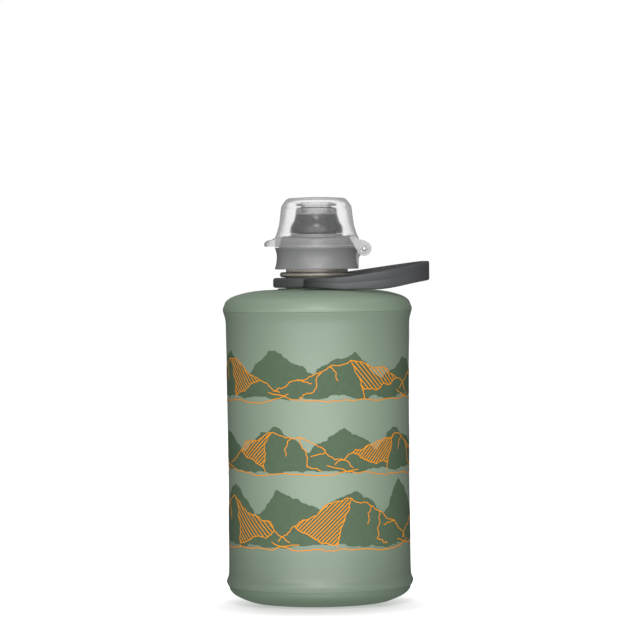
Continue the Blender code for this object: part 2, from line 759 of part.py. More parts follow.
def dust_cover():
    """The clear hinged cover: a domed shell with a plug ring, a thumb tab and two hinge ears."""
    outer = [
        (COVER_RIM_RADIUS, COVER_RIM_Z),
        (COVER_RIM_RADIUS + 0.05, COVER_STEP_Z),
        (17.0, 149.4),
        (15.8, 152.6),
        (14.9, 155.9),
        (COVER_WAIST_RADIUS + 0.05, 159.0),
        (COVER_WAIST_RADIUS, COVER_WAIST_Z + 0.7),
        (13.4, 162.4),
        (12.3, 163.8),
        (10.8, 164.7),
        (6.0, 165.0),
        (0.0, COVER_TOP_Z),
    ]
    inner = [
        (0.0, COVER_CEILING_Z),
        (PLUG_BORE, COVER_CEILING_Z),
        (PLUG_BORE, PLUG_BOTTOM_Z),
        (PLUG_RADIUS - 0.4, PLUG_BOTTOM_Z),
        (PLUG_RADIUS, PLUG_BOTTOM_Z + 0.4),
        (PLUG_RADIUS, COVER_CEILING_Z - 0.1),
        (9.8, 163.3),
        (10.9, 162.7),
        (11.9, 161.6),
        (12.6, 160.2),
        (COVER_WAIST_RADIUS - COVER_WALL + 0.05, 159.0),
        (13.3, 155.8),
        (14.2, 152.5),
        (15.4, 149.2),
        (COVER_RIM_RADIUS - COVER_WALL, COVER_STEP_Z),
        (COVER_RIM_RADIUS - COVER_WALL, COVER_RIM_Z),
    ]
    made = turned("dust_cover", list(reversed(outer + inner)), "clear_cover")
    add_to(made, thumb_tab(), cover_ear(-1), cover_ear(1))
    notch = [(13.0, 143.0), (24.0, 143.0), (24.0, 147.0), (13.0, 147.0)]
    cut_from(made, prism("notch", notch, -EAR_INNER, EAR_INNER, upright=False))
    reach = EAR_OUTER + 1
    return cut_from(made, rod("ear_bore", EAR_BORE, -reach, reach, HINGE_X, HINGE_Z))


def cover_hinge_pin():
    """The steel pin through both ears and the lug."""
    ends = (-PIN_HALF_LENGTH, PIN_HALF_LENGTH)
    return rod("cover_hinge_pin", PIN_RADIUS, *ends, HINGE_X, HINGE_Z, slot="steel")


def set_origin(thing, x, y, z):
    """Put an object's origin on its joint's axis and leave its shape where it is."""
    for vert in thing.data.vertices:
        vert.co.x -= x * MM
        vert.co.y -= y * MM
        vert.co.z -= z * MM
    thing.location = (x * MM, y * MM, z * MM)


def main():
    clear_scene()
    base_cup()
    sleeve()
    shoulder()
    neck()
    strap_ring()
    loop = bail_loop()
    cap_shell()
    cap_gasket()
    spout_insert()
    spout_seal()
    slit_valve()
    spout_nozzle()
    cover = dust_cover()
    pin = cover_hinge_pin()
    set_origin(loop, TRUNNION_X, 0.0, TRUNNION_Z)
    set_origin(cover, HINGE_X, 0.0, HINGE_Z)
    set_origin(pin, HINGE_X, 0.0, HINGE_Z)


main()
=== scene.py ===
import math
import random

import bmesh
import bpy
import numpy as np
from mathutils import Matrix, Vector


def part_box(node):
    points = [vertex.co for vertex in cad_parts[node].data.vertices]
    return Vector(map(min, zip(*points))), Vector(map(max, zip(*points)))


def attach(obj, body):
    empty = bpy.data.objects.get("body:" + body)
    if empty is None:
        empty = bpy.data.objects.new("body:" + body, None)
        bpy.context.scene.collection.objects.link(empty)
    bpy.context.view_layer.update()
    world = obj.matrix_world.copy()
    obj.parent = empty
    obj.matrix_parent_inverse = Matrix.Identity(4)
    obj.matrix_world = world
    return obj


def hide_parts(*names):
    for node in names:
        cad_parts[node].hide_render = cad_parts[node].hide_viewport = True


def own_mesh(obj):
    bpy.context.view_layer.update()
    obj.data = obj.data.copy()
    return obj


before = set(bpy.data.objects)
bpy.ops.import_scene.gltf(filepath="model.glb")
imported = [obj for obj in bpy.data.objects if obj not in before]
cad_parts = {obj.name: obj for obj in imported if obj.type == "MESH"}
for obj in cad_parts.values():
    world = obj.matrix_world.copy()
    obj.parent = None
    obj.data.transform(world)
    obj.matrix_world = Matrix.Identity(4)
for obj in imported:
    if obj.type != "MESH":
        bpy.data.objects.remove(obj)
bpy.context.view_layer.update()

MM = 0.001
SMOOTH_ANGLE = math.radians(38)
ROUND_STEPS = 180


def low(node):
    """The lowest height of a CAD node, in millimetres."""
    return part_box(node)[0].z / MM


def high(node):
    """The highest height of a CAD node, in millimetres."""
    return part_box(node)[1].z / MM


# ---- Driving dimensions, as in the CAD part ----
SLEEVE_FOOT = low("sleeve")
SLEEVE_TOP = high("sleeve")
SLEEVE_WALL = 0.8
FOOT_HELD = 36.2
CROWN_HELD = 36.45
BASE_SEAM = SLEEVE_FOOT - 0.02
NECK_RADIUS = 12.6
NECK_BORE = 10.9
NECK_THREAD_CREST = 13.7
CAP_THREAD_ROOT = 14.8
CAP_THREAD_CREST = 13.05
NECK_LIP = high("neck")
BEAD_RADIUS = 15.1
BEAD_LOW = 132.6
BEAD_HIGH = 134.6
THREAD_PITCH = 4.0
THREAD_START = 137.4
RING_LOW = low("strap_ring")
RING_HIGH = high("strap_ring")
RING_RADIUS = 17.9
PIVOT_X = -3.6
PIVOT_Z = 130.1
TRUNNION_RADIUS = 0.95
EYE_BORE = 1.03
EYE_RADIUS = 1.85
CAP_LOW = low("cap_shell")
HINGE_X = 19.25
HINGE_Z = 144.0
LUG_HALF = 3.0
BARREL_HALF = 7.6
EAR_INNER = 7.9
EAR_OUTER = 11.0
EAR_RADIUS = 3.0
EAR_BORE = 0.82
BARREL_BORE = 0.86
PIN_RADIUS = 0.78
PIN_HALF = 11.2
COVER_RIM = 145.0
COVER_TOP = high("dust_cover")
COVER_CEILING = 163.6


# ---- Mesh helpers ----
def to_object(name, verts, faces):
    """A closed, smooth-shaded mesh object from points in millimetres."""
    data = bpy.data.meshes.new(name)
    data.from_pydata([tuple(c * MM for c in v) for v in verts], [], faces)
    mesh = bmesh.new()
    mesh.from_mesh(data)
    bmesh.ops.remove_doubles(mesh, verts=mesh.verts, dist=1e-7)
    bmesh.ops.recalc_face_normals(mesh, faces=mesh.faces)
    mesh.to_mesh(data)
    mesh.free()
    made = bpy.data.objects.new(name, data)
    bpy.context.scene.collection.objects.link(made)
    return smooth(made)


def smooth(thing):
    """Smooth shading with sharp creases kept."""
    thing.data.shade_smooth()
    thing.data.set_sharp_from_angle(angle=SMOOTH_ANGLE)
    return thing


def curve(points, per=6):
    """A smooth Catmull-Rom line through the points."""
    pts = [points[0], *points, points[-1]]
    out = []
    for a, b, c, d in zip(pts, pts[1:], pts[2:], pts[3:]):
        for i in range(per):
            t = i / per
            out.append(tuple(
                0.5 * (2 * q + (r - p) * t + (2 * p - 5 * q + 4 * r - s) * t**2
                       + (3 * q - p - 3 * r + s) * t**3)
                for p, q, r, s in zip(a, b, c, d)
            ))
    return out + [tuple(points[-1])]


def fillet(corners, closed=True, steps=5):
    """An outline with each (r, z, radius) corner rounded by an arc of that radius."""
    out = []
    count = len(corners)
    for i, (r, z, radius) in enumerate(corners):
        here = Vector((r, z))
        if radius <= 0 or (not closed and i in (0, count - 1)):
            out.append((r, z))
            continue
        before = Vector(corners[i - 1][:2]) - here
        after = Vector(corners[(i + 1) % count][:2]) - here
        angle = before.angle(after)
        reach = min(radius / math.tan(angle / 2), before.length * 0.49, after.length * 0.49)
        radius = reach * math.tan(angle / 2)
        start = here + before.normalized() * reach
        end = here + after.normalized() * reach
        bisector = (before.normalized() + after.normalized()).normalized()
        centre = here + bisector * (radius / math.sin(angle / 2))
        from_centre = start - centre
        turn = from_centre.angle_signed(end - centre)
        for k in range(steps + 1):
            spoke = from_centre.copy()
            spoke.rotate(Matrix.Rotation(-turn * k / steps, 2))
            out.append(tuple(centre + spoke))
    return out


def revolve(name, outline, steps=ROUND_STEPS, span=None):
    """Turn a closed outline of (r, z) about the axis, all the way or over a span of angles."""
    whole = span is None
    first, last = span or (0.0, 2 * math.pi)
    columns = steps if whole else steps + 1
    verts = []
    for i in range(columns):
        angle = first + (last - first) * i / steps
        verts += [(r * math.cos(angle), r * math.sin(angle), z) for r, z in outline]
    rows = len(outline)
    faces = []
    for i in range(steps):
        a, b = i * rows, (i + 1) % columns * rows
        for j in range(rows):
            k = (j + 1) % rows
            if outline[j][0] < 1e-6 and outline[k][0] < 1e-6:
                continue
            faces.append((a + j, b + j, b + k, a + k))
    if not whole:
        faces.append(tuple(range(rows)))
        faces.append(tuple(range(len(verts) - rows, len(verts))))
    return to_object(name, verts, faces)


def skin(name, rings):
    """Skin a row of matching rings of points, and close both ends."""
    count = len(rings[0])
    verts = [point for ring in rings for point in ring]
    faces = []
    for i in range(len(rings) - 1):
        a, b = i * count, (i + 1) * count
        faces += [(a + j, a + (j + 1) % count, b + (j + 1) % count, b + j) for j in range(count)]
    faces.append(tuple(range(count)))
    faces.append(tuple(range(len(verts) - count, len(verts))))
    return to_object(name, verts, faces)


def prism(name, outline, first, last):
    """A prism along Y from an (x, z) outline."""
    return skin(name, [[(x, y, z) for x, z in outline] for y in (first, last)])


def disc(x, z, radius, start=0.0, end=360.0, steps=48):
    """Points round a circle in the XZ plane."""
    full = abs(end - start) >= 360
    count = steps if full else steps + 1
    angles = [math.radians(start + (end - start) * i / steps) for i in range(count)]
    return [(x + radius * math.cos(a), z + radius * math.sin(a)) for a in angles]


def combine(target, tool, operation):
    """Join a tool to a target or cut it out, and drop the tool."""
    step = target.modifiers.new("join", "BOOLEAN")
    step.operation = operation
    step.solver = "EXACT"
    step.object = tool
    graph = bpy.context.evaluated_depsgraph_get()
    result = bpy.data.meshes.new_from_object(target.evaluated_get(graph))
    target.modifiers.clear()
    target.data = result
    bpy.data.objects.remove(tool, do_unlink=True)
    return smooth(target)


def drill(target, x, z, radius, first, last, steps=40):
    """Cut a round hole along Y."""
    return combine(target, prism("hole", disc(x, z, radius, steps=steps), first, last), "DIFFERENCE")


def ease(t):
    """A smooth step from 0 to 1."""
    t = min(max(t, 0.0), 1.0)
    return t * t * (3 - 2 * t)


# ---- Materials ----
def srgb(r, g, b):
    """A linear colour from 0-255 display values."""
    return tuple(((c / 255 + 0.055) / 1.055) ** 2.4 if c > 10 else c / 3294.6 for c in (r, g, b))


def tone(colour, factor):
    """A colour made darker or lighter."""
    return tuple(min(1.0, c * factor) for c in colour)


def new_material(name, roughness, ior=1.5, transmission=0.0, specular=0.5):
    """A material with one Principled shader."""
    made = bpy.data.materials.new(name)
    made.use_nodes = True
    shader = made.node_tree.nodes["Principled BSDF"]
    shader.inputs["Roughness"].default_value = roughness
    shader.inputs["IOR"].default_value = ior
    shader.inputs["Transmission Weight"].default_value = transmission
    shader.inputs["Specular IOR Level"].default_value = specular
    return made, shader


def noise(tree, scale, detail=3.0, rough=0.5, stretch=(1, 1, 1)):
    """A noise texture on object coordinates; scale is in features a metre."""
    place = tree.nodes.new("ShaderNodeTexCoord")
    fit = tree.nodes.new("ShaderNodeMapping")
    fit.inputs["Scale"].default_value = stretch
    texture = tree.nodes.new("ShaderNodeTexNoise")
    texture.inputs["Scale"].default_value = scale
    texture.inputs["Detail"].default_value = detail
    texture.inputs["Roughness"].default_value = rough
    tree.links.new(place.outputs["Object"], fit.inputs["Vector"])
    tree.links.new(fit.outputs["Vector"], texture.inputs["Vector"])
    return texture.outputs["Fac"]


def ramp(tree, value, low_value, high_value, start=0.3, end=0.7):
    """Map a noise value between two numbers."""
    fit = tree.nodes.new("ShaderNodeMapRange")
    fit.inputs["From Min"].default_value = start
    fit.inputs["From Max"].default_value = end
    fit.inputs["To Min"].default_value = low_value
    fit.inputs["To Max"].default_value = high_value
    tree.links.new(value, fit.inputs["Value"])
    return fit.outputs["Result"]


def along(tree, axis, low_value, high_value, start, end):
    """A gradient along one of the object's own axes, between two places in metres."""
    place = tree.nodes.new("ShaderNodeTexCoord")
    split = tree.nodes.new("ShaderNodeSeparateXYZ")
    tree.links.new(place.outputs["Object"], split.inputs["Vector"])
    return ramp(tree, split.outputs[axis], low_value, high_value, start, end)


def mix_colour(tree, value, first, second):
    """Blend two colours by a value."""
    mix = tree.nodes.new("ShaderNodeMix")
    mix.data_type = "RGBA"
    for socket, colour in (("A", first), ("B", second)):
        target = [s for s in mix.inputs if s.name == socket and s.type == "RGBA"][0]
        if isinstance(colour, tuple):
            target.default_value = (*colour, 1.0)
        else:
            tree.links.new(colour, target)
    tree.links.new(value, mix.inputs[0])
    return [s for s in mix.outputs if s.type == "RGBA"][0]


def mix_number(tree, value, first, second):
    """Blend two numbers, or two linked values, by a value."""
    mix = tree.nodes.new("ShaderNodeMix")
    tree.links.new(value, mix.inputs[0])
    for socket, number in ((mix.inputs[2], first), (mix.inputs[3], second)):
        if isinstance(number, float):
            socket.default_value = number
        else:
            tree.links.new(number, socket)
    return mix.outputs[0]


def bump(tree, shader, layers):
    """Stack bumps on a shader. Each layer is (height, strength, distance in millimetres)."""
    normal = None
    for height, strength, distance in layers:
        node = tree.nodes.new("ShaderNodeBump")
        node.inputs["Strength"].default_value = strength
        node.inputs["Distance"].default_value = distance * MM
        tree.links.new(height, node.inputs["Height"])
        if normal:
            tree.links.new(normal, node.inputs["Normal"])
        normal = node.outputs["Normal"]
    tree.links.new(normal, shader.inputs["Normal"])


def moulded(name, colour, roughness, grain=2600, depth=0.02, vary=0.06, wear=0.12, specular=0.5):
    """Satin moulded plastic: fine grain, slight colour drift, lighter worn edges."""
    made, shader = new_material(name, roughness, specular=specular)
    tree = made.node_tree
    patch = ramp(tree, noise(tree, 60, 4), 0, 1)
    drift = mix_colour(tree, patch, tone(colour, 1 - vary), tone(colour, 1 + vary))
    edge = tree.nodes.new("ShaderNodeNewGeometry").outputs["Pointiness"]
    worn = tuple(min(1.0, c + wear * (1 - c)) for c in colour)
    tree.links.new(
        mix_colour(tree, ramp(tree, edge, 0, 1, 0.53, 0.62), drift, worn),
        shader.inputs["Base Color"],
    )
    rough_low, rough_high = roughness - 0.05, roughness + 0.07
    tree.links.new(ramp(tree, noise(tree, 240, 3), rough_low, rough_high), shader.inputs["Roughness"])
    bump(tree, shader, [(noise(tree, grain, 2, 0.6), 0.35, depth), (noise(tree, 420, 2), 0.15, depth)])
    return made


def film_material(name, colour, foot=0.0, crown=0.0):
    """Frosted TPU film: satin, finely grained, a little cloudy, and darker towards its two ends."""
    made, shader = new_material(name, 0.46, ior=1.5, specular=1.0)
    tree = made.node_tree
    cloud = ramp(tree, noise(tree, 22, 4, 0.55), 0.0, 1.0, 0.32, 0.68)
    fleck = ramp(tree, noise(tree, 1900, 2, 0.7), 0.0, 1.0, 0.30, 0.70)
    soft = mix_colour(tree, cloud, tone(colour, 0.975), tone(colour, 1.025))
    grained = mix_colour(tree, fleck, tone(colour, 0.965), soft)
    ends = tree.nodes.new("ShaderNodeMath")
    ends.operation = "ADD"
    tree.links.new(along(tree, "Z", foot, 0.0, 0.012, 0.045), ends.inputs[0])
    tree.links.new(along(tree, "Z", 0.0, crown, 0.088, 0.117), ends.inputs[1])
    # Darker towards the foot and the crown.
    darker_ends = mix_colour(tree, ends.outputs["Value"], grained, tone(colour, 0.55))
    tree.links.new(darker_ends, shader.inputs["Base Color"])
    tree.links.new(ramp(tree, noise(tree, 150, 3), 0.42, 0.52), shader.inputs["Roughness"])
    bump(tree, shader, [
        (noise(tree, 3200, 2, 0.65), 0.30, 0.018),
        (noise(tree, 500, 3, 0.5), 0.18, 0.02),
        (noise(tree, 70, 2, 0.5, (1, 1, 0.4)), 0.10, 0.10),
    ])
    return made


def ink_material(name, colour, roughness, specular):
    """Screen-printed ink on the film: matte, with the print's faint unevenness."""
    made, shader = new_material(name, roughness, specular=specular)
    tree = made.node_tree
    patch = ramp(tree, noise(tree, 420, 4, 0.6), 0.0, 1.0, 0.3, 0.7)
    drift = mix_colour(tree, patch, tone(colour, 0.94), tone(colour, 1.05))
    tree.links.new(drift, shader.inputs["Base Color"])
    bump(tree, shader, [(noise(tree, 3000, 2, 0.6), 0.25, 0.015)])
    return made


def absorb(tree, grey, density):
    """Light loss inside a clear material: density, in every millimetre, times what grey leaves."""
    body = tree.nodes.new("ShaderNodeVolumeAbsorption")
    body.inputs["Color"].default_value = (grey, grey, grey, 1.0)
    body.inputs["Density"].default_value = density / MM
    tree.links.new(body.outputs["Volume"], tree.nodes["Material Output"].inputs["Volume"])


def clear_material(name, colour, roughness, clearness, ior=1.5, scratches=0.06):
    """Clear moulded plastic: slightly milky, with flow marks and fine scuffs."""
    made, shader = new_material(name, roughness, ior=ior, transmission=clearness)
    tree = made.node_tree
    haze = ramp(tree, noise(tree, 90, 4, 0.6), 0.0, 1.0)
    tree.links.new(mix_colour(tree, haze, tone(colour, 0.985), colour), shader.inputs["Base Color"])
    scuff = ramp(tree, noise(tree, 700, 5, 0.7, (1, 1, 0.15)), roughness, roughness + scratches, 0.52, 0.72)
    tree.links.new(scuff, shader.inputs["Roughness"])
    bump(tree, shader, [(noise(tree, 45, 2), 0.05, 0.10), (noise(tree, 1400, 2), 0.03, 0.01)])
    return made


def neck_material(name):
    """The neck's clear plastic, which warms and greys with depth."""
    made = clear_material(name, (0.84, 0.80, 0.72), 0.20, 0.88)
    absorb(made.node_tree, 0.80, 0.30)
    return made


def silicone(name, colour, roughness, specular=0.45, ior=1.41):
    """Soft silicone: dusty satin with a faint mould grain."""
    made, shader = new_material(name, roughness, ior=ior, specular=specular)
    tree = made.node_tree
    dust = ramp(tree, noise(tree, 180, 5, 0.6), 0.0, 1.0, 0.35, 0.7)
    drift = mix_colour(tree, dust, tone(colour, 0.93), tone(colour, 1.08))
    tree.links.new(drift, shader.inputs["Base Color"])
    satin = ramp(tree, noise(tree, 320, 3), roughness - 0.05, roughness + 0.08)
    tree.links.new(satin, shader.inputs["Roughness"])
    bump(tree, shader, [(noise(tree, 2400, 2, 0.6), 0.25, 0.02)])
    return made


def smoky_nozzle(name, colour, roughness):
    """Smoky silicone that lets light through at its thin lip, where long paths through it stay dark."""
    made = silicone(name, colour, roughness, specular=0.8)
    tree = made.node_tree
    shader = tree.nodes["Principled BSDF"]
    thin = along(tree, "Z", 0.0, 1.0, 0.1580, 0.1590)
    plain = shader.inputs["Base Color"].links[0].from_socket
    tree.links.new(mix_colour(tree, thin, plain, (1.0, 1.0, 1.0)), shader.inputs["Base Color"])
    tree.links.new(ramp(tree, thin, 0.05, 1.0, 0.0, 1.0), shader.inputs["Transmission Weight"])
    absorb(tree, 0.25, 0.17)
    return made


def strap_painted_shade(name, colour, roughness):
    """The strap's plastic with painted shade: darker and duller towards each strand's eye, where the root
    lies in shade.
    """
    made = moulded(name, colour, roughness, grain=2200, depth=0.03, wear=0.04, specular=0.6)
    tree = made.node_tree
    shader = tree.nodes["Principled BSDF"]
    # Painted shade: 0 at the eyes, where the colour goes nearly black and the surface dull, rising to 1 along
    # the free strand.
    free = along(tree, "X", 0.0, 1.0, -0.0050, 0.0080)
    plain = shader.inputs["Base Color"].links[0].from_socket
    tree.links.new(mix_colour(tree, free, tone(colour, 0.12), plain), shader.inputs["Base Color"])
    satin = shader.inputs["Roughness"].links[0].from_socket
    tree.links.new(mix_number(tree, free, 0.9, satin), shader.inputs["Roughness"])
    return made


def steel_material(name):
    """A ground steel pin with lengthwise lines."""
    made, shader = new_material(name, 0.28)
    tree = made.node_tree
    shader.inputs["Metallic"].default_value = 1.0
    lines = noise(tree, 2600, 3, 0.6, (1, 0.05, 1))
    tree.links.new(
        mix_colour(tree, ramp(tree, lines, 0, 1), srgb(168, 170, 172), srgb(228, 230, 232)),
        shader.inputs["Base Color"],
    )
    tree.links.new(ramp(tree, lines, 0.2, 0.38), shader.inputs["Roughness"])
    bump(tree, shader, [(lines, 0.3, 0.01)])
    return made


MATERIALS = {
    "film": film_material("film", srgb(144, 163, 142), 0.66, 0.34),
    "shoulder_tpu": film_material("shoulder_tpu", srgb(141, 161, 139)),
    "base_tpu": film_material("base_tpu", srgb(110, 129, 109)),
    "dark_ink": ink_material("dark_ink", srgb(91, 111, 88), 0.6, 0.15),
    "orange_ink": ink_material("orange_ink", srgb(255, 158, 26), 0.6, 0.2),
    "strap": moulded("strap", srgb(76, 77, 79), 0.44, grain=2200, depth=0.03, wear=0.04, specular=0.6),
    "strap_painted_shade": strap_painted_shade("strap_painted_shade", srgb(79, 80, 82), 0.44),
    "cap": moulded("cap", srgb(144, 144, 145), 0.38, grain=2800, depth=0.02, wear=0.06, specular=0.7),
    "nozzle": smoky_nozzle("nozzle", srgb(86, 87, 88), 0.28),
    "clear_cover": clear_material("clear_cover", (1.0, 1.0, 1.0), 0.14, 1.0, 1.40),
    "cloudy_cover_and_highlight": clear_material("cloudy_cover_and_highlight", (0.62, 0.62, 0.62), 0.22, 0.62),
    "plug": clear_material("plug", (0.93, 0.93, 0.93), 0.16, 1.0, 1.30),
    "clear_neck": neck_material("clear_neck"),
    "gasket": silicone("gasket", srgb(225, 225, 220), 0.5),
    "valve": silicone("valve", srgb(205, 205, 203), 0.45),
    "insert": moulded("insert", srgb(176, 178, 180), 0.38, grain=2600, depth=0.015, wear=0.06),
    "steel": steel_material("steel"),
}


def place(piece, body, finish, slot, *nodes):
    """Give a piece its material and its body, and hide the CAD nodes that it stands for."""
    piece.data.materials.clear()
    piece.data.materials.append(MATERIALS[finish])
    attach(piece, body)
    if nodes:
        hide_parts(*nodes)
    return piece


# ---- Film sleeve, base and shoulder ----
FILM_PROFILE = curve([
    (37.3, SLEEVE_FOOT),
    (37.8, SLEEVE_FOOT + 1.0),
    (38.05, SLEEVE_FOOT + 1.9),
    (37.8, SLEEVE_FOOT + 2.9),
    (37.35, SLEEVE_FOOT + 4.2),
    (37.1, SLEEVE_FOOT + 7.0),
    (37.0, 24.0),
    (36.85, 44.0),
    (36.95, 70.0),
    (37.15, 95.0),
    (37.32, 108.0),
    (37.42, 114.0),
    (37.7, 116.2),
    (38.2, 117.9),
    (38.42, SLEEVE_TOP + 0.15),
], per=8)
FILM_HEIGHTS = [z for r, z in FILM_PROFILE]
FILM_RADII = [r for r, z in FILM_PROFILE]
FILM_ROUND = 240
PRINT_RADIUS = 37.0


def film_radius(angle, z):
    """The film's outer radius at an angle and a height, with its faint waviness."""
    free = ease((z - 16) / 18) * ease((SLEEVE_TOP - 4 - z) / 18)
    wave = (
        0.45 * math.sin(3 * angle + 0.05 * z + 1.0)
        + 0.35 * math.sin(5 * angle - 0.09 * z)
        + 0.30 * math.sin(2 * angle + 0.16 * z + 2.0)
        + 0.20 * math.sin(9 * angle + 0.11 * z + 0.5)
    )
    return float(np.interp(z, FILM_HEIGHTS, FILM_RADII)) + 0.09 * free * wave


def film_sleeve():
    """The film tube, fine enough to carry its waviness, held round the flanges at its two ends."""
    curved = [z for z in FILM_HEIGHTS if z < 24]
    flare = [z for z in FILM_HEIGHTS if z > 108]
    rows = 72
    outside = curved + [24 + (108 - 24) * i / rows for i in range(rows + 1)] + flare
    inside = [SLEEVE_TOP - (SLEEVE_TOP - SLEEVE_FOOT) * i / 40 for i in range(41)]
    verts = []
    for i in range(FILM_ROUND):
        angle = 2 * math.pi * i / FILM_ROUND
        ring = [(film_radius(angle, z), z) for z in outside]
        for z in inside:
            wall = film_radius(angle, z) - SLEEVE_WALL
            held = FOOT_HELD if z < 14 else CROWN_HELD
            ring.append((held if z < 14 or z > 110 else min(wall, held), z))
        verts += [(r * math.cos(angle), r * math.sin(angle), z) for r, z in ring]
    count = len(outside) + len(inside)
    faces = []
    for i in range(FILM_ROUND):
        a, b = i * count, (i + 1) % FILM_ROUND * count
        faces += [(a + j, b + j, b + (j + 1) % count, a + (j + 1) % count) for j in range(count)]
    return to_object("film_sleeve", verts, faces)


def base_moulding():
    """The moulded foot below the seam, with a rounded chamfer and the flange inside the film."""
    outer = curve([(24.0, 0.0), (27.8, 0.5), (31.2, 1.7), (34.2, 3.1), (35.9, 4.4), (36.75, 5.6)], per=8)
    rest = fillet([
        (37.15, BASE_SEAM, 0.25),
        (35.9, BASE_SEAM, 0.0),
        (35.9, 12.0, 0.2),
        (35.0, 12.0, 0.2),
        (35.0, 6.6, 0.8),
        (33.2, 4.9, 1.0),
        (30.2, 3.4, 1.0),
        (26.5, 2.2, 1.0),
        (23.0, 1.8, 0.5),
        (0.0, 1.8, 0.0),
    ], closed=False)
    return revolve("base_moulding", [(0.0, 0.0), (22.5, 0.0)] + outer + rest)


def shoulder_moulding():
    """The domed shoulder: a rolled rim, a bright band, a soft edge and the collar."""
    rim = fillet([(37.9, 118.75, 0.1), (38.5, 118.8, 0.2), (38.52, 120.0, 1.0), (37.45, 122.7, 0.7)],
                 closed=False)
    dome = curve([(37.2, 122.95), (36.3, 123.8), (34.6, 124.75), (32.0, 125.65), (28.6, 126.5),
                  (24.0, 127.15), (19.8, 127.4), (17.2, 127.45)], per=8)
    collar = fillet([(16.3, 127.5, 0.4), (15.8, 128.0, 0.3), (12.9, 128.0, 0.1), (12.9, 126.3, 0.0)],
                    closed=False)
    under = curve([(17.0, 126.3), (24.5, 126.0), (30.0, 125.0), (33.4, 123.9), (35.2, 122.2)], per=5)
    flange = [(35.2, 112.2), (35.4, 112.0), (35.9, 112.0), (36.1, 112.2), (36.1, 118.75)]
    return revolve("shoulder_moulding", rim + dome + collar + under + flange)


# ---- The print: three bands of invented mountains, drawn by chance, that run all the way round ----
GIRTH = 2 * math.pi * PRINT_RADIUS
DARK_LIFT = 0.05
LINE_LIFT = 0.10
LINE_WIDTH = 0.35
HATCH_WIDTH = 0.36
# The way round from +X to the front, which faces -Y.
FRONT = -GIRTH / 4
PEAKS = 4
# Each band: the height of its foot line and of its tallest peak, and the seed of its range.
BANDS = ((85.0, 20.0, 3), (55.6, 20.0, 5), (25.6, 28.0, 8))


def on_film(s, z, lift):
    """A point of the print: s is the distance round the bottle from the front, to the right."""
    angle = (FRONT + s) / PRINT_RADIUS
    r = film_radius(angle, z) + lift
    return (r * math.cos(angle), r * math.sin(angle), z)


def rough_line(points, seed, amount=0.14, step=0.8):
    """A hand-drawn line: each straight stretch is split, and its middles pushed sideways."""
    dice = random.Random(seed)
    line = [tuple(p) for p in points]
    longest = max(math.dist(a, b) for a, b in zip(line, line[1:]))
    while longest > step:
        finer = [line[0]]
        for a, b in zip(line, line[1:]):
            length = math.dist(a, b)
            if length > step:
                push = dice.uniform(-amount, amount) * min(length, 8.0)
                nx, nz = -(b[1] - a[1]) / length, (b[0] - a[0]) / length
                finer.append(((a[0] + b[0]) / 2 + nx * push, (a[1] + b[1]) / 2 + nz * push))
            finer.append(b)
        line = finer
        longest = max(math.dist(a, b) for a, b in zip(line, line[1:]))
    return line


def straight_line(a, b, step=1.2):
    """A straight line in short pieces, so that it can wrap round the film."""
    count = max(1, math.ceil(math.dist(a, b) / step))
    return [(a[0] + (b[0] - a[0]) * i / count, a[1] + (b[1] - a[1]) * i / count) for i in range(count + 1)]


def hatch(polygon, slant, gap):
    """Parallel strokes across a polygon, at a slant in degrees."""
    c, s = math.cos(math.radians(slant)), math.sin(math.radians(slant))
    turned = [(x * c + z * s, -x * s + z * c) for x, z in polygon]
    heights = [v for u, v in turned]
    strokes = []
    level = min(heights) + gap * 0.6
    while level < max(heights):
        cuts = []
        for (u0, v0), (u1, v1) in zip(turned, turned[1:] + turned[:1]):
            if (v0 <= level) != (v1 <= level):
                cuts.append(u0 + (u1 - u0) * (level - v0) / (v1 - v0))
        cuts.sort()
        for u0, u1 in zip(cuts[::2], cuts[1::2]):
            if u1 - u0 > 0.5:
                ends = [(u * c - level * s, u * s + level * c) for u in (u0, u1)]
                strokes.append(straight_line(*ends))
        level += gap
    return strokes


def ribbons(name, lines):
    """Raised ink lines: each (points, width) becomes a thin closed band on the film."""
    verts, faces = [], []
    for points, width in lines:
        start = len(verts)
        for i, (s, z) in enumerate(points):
            a, b = points[max(i - 1, 0)], points[min(i + 1, len(points) - 1)]
            length = math.dist(a, b) or 1.0
            ns, nz = -(b[1] - a[1]) / length * width / 2, (b[0] - a[0]) / length * width / 2
            for side, lift in ((1, 0.02), (1, LINE_LIFT), (-1, LINE_LIFT), (-1, 0.02)):
                verts.append(on_film(s + side * ns, z + side * nz, lift))
        for i in range(len(points) - 1):
            a, b = start + 4 * i, start + 4 * i + 4
            faces += [(a + j, a + (j + 1) % 4, b + (j + 1) % 4, b + j) for j in range(4)]
        end = len(verts) - 4
        faces.append((start, start + 1, start + 2, start + 3))
        faces.append((end + 3, end + 2, end + 1, end))
    return to_object(name, verts, faces)


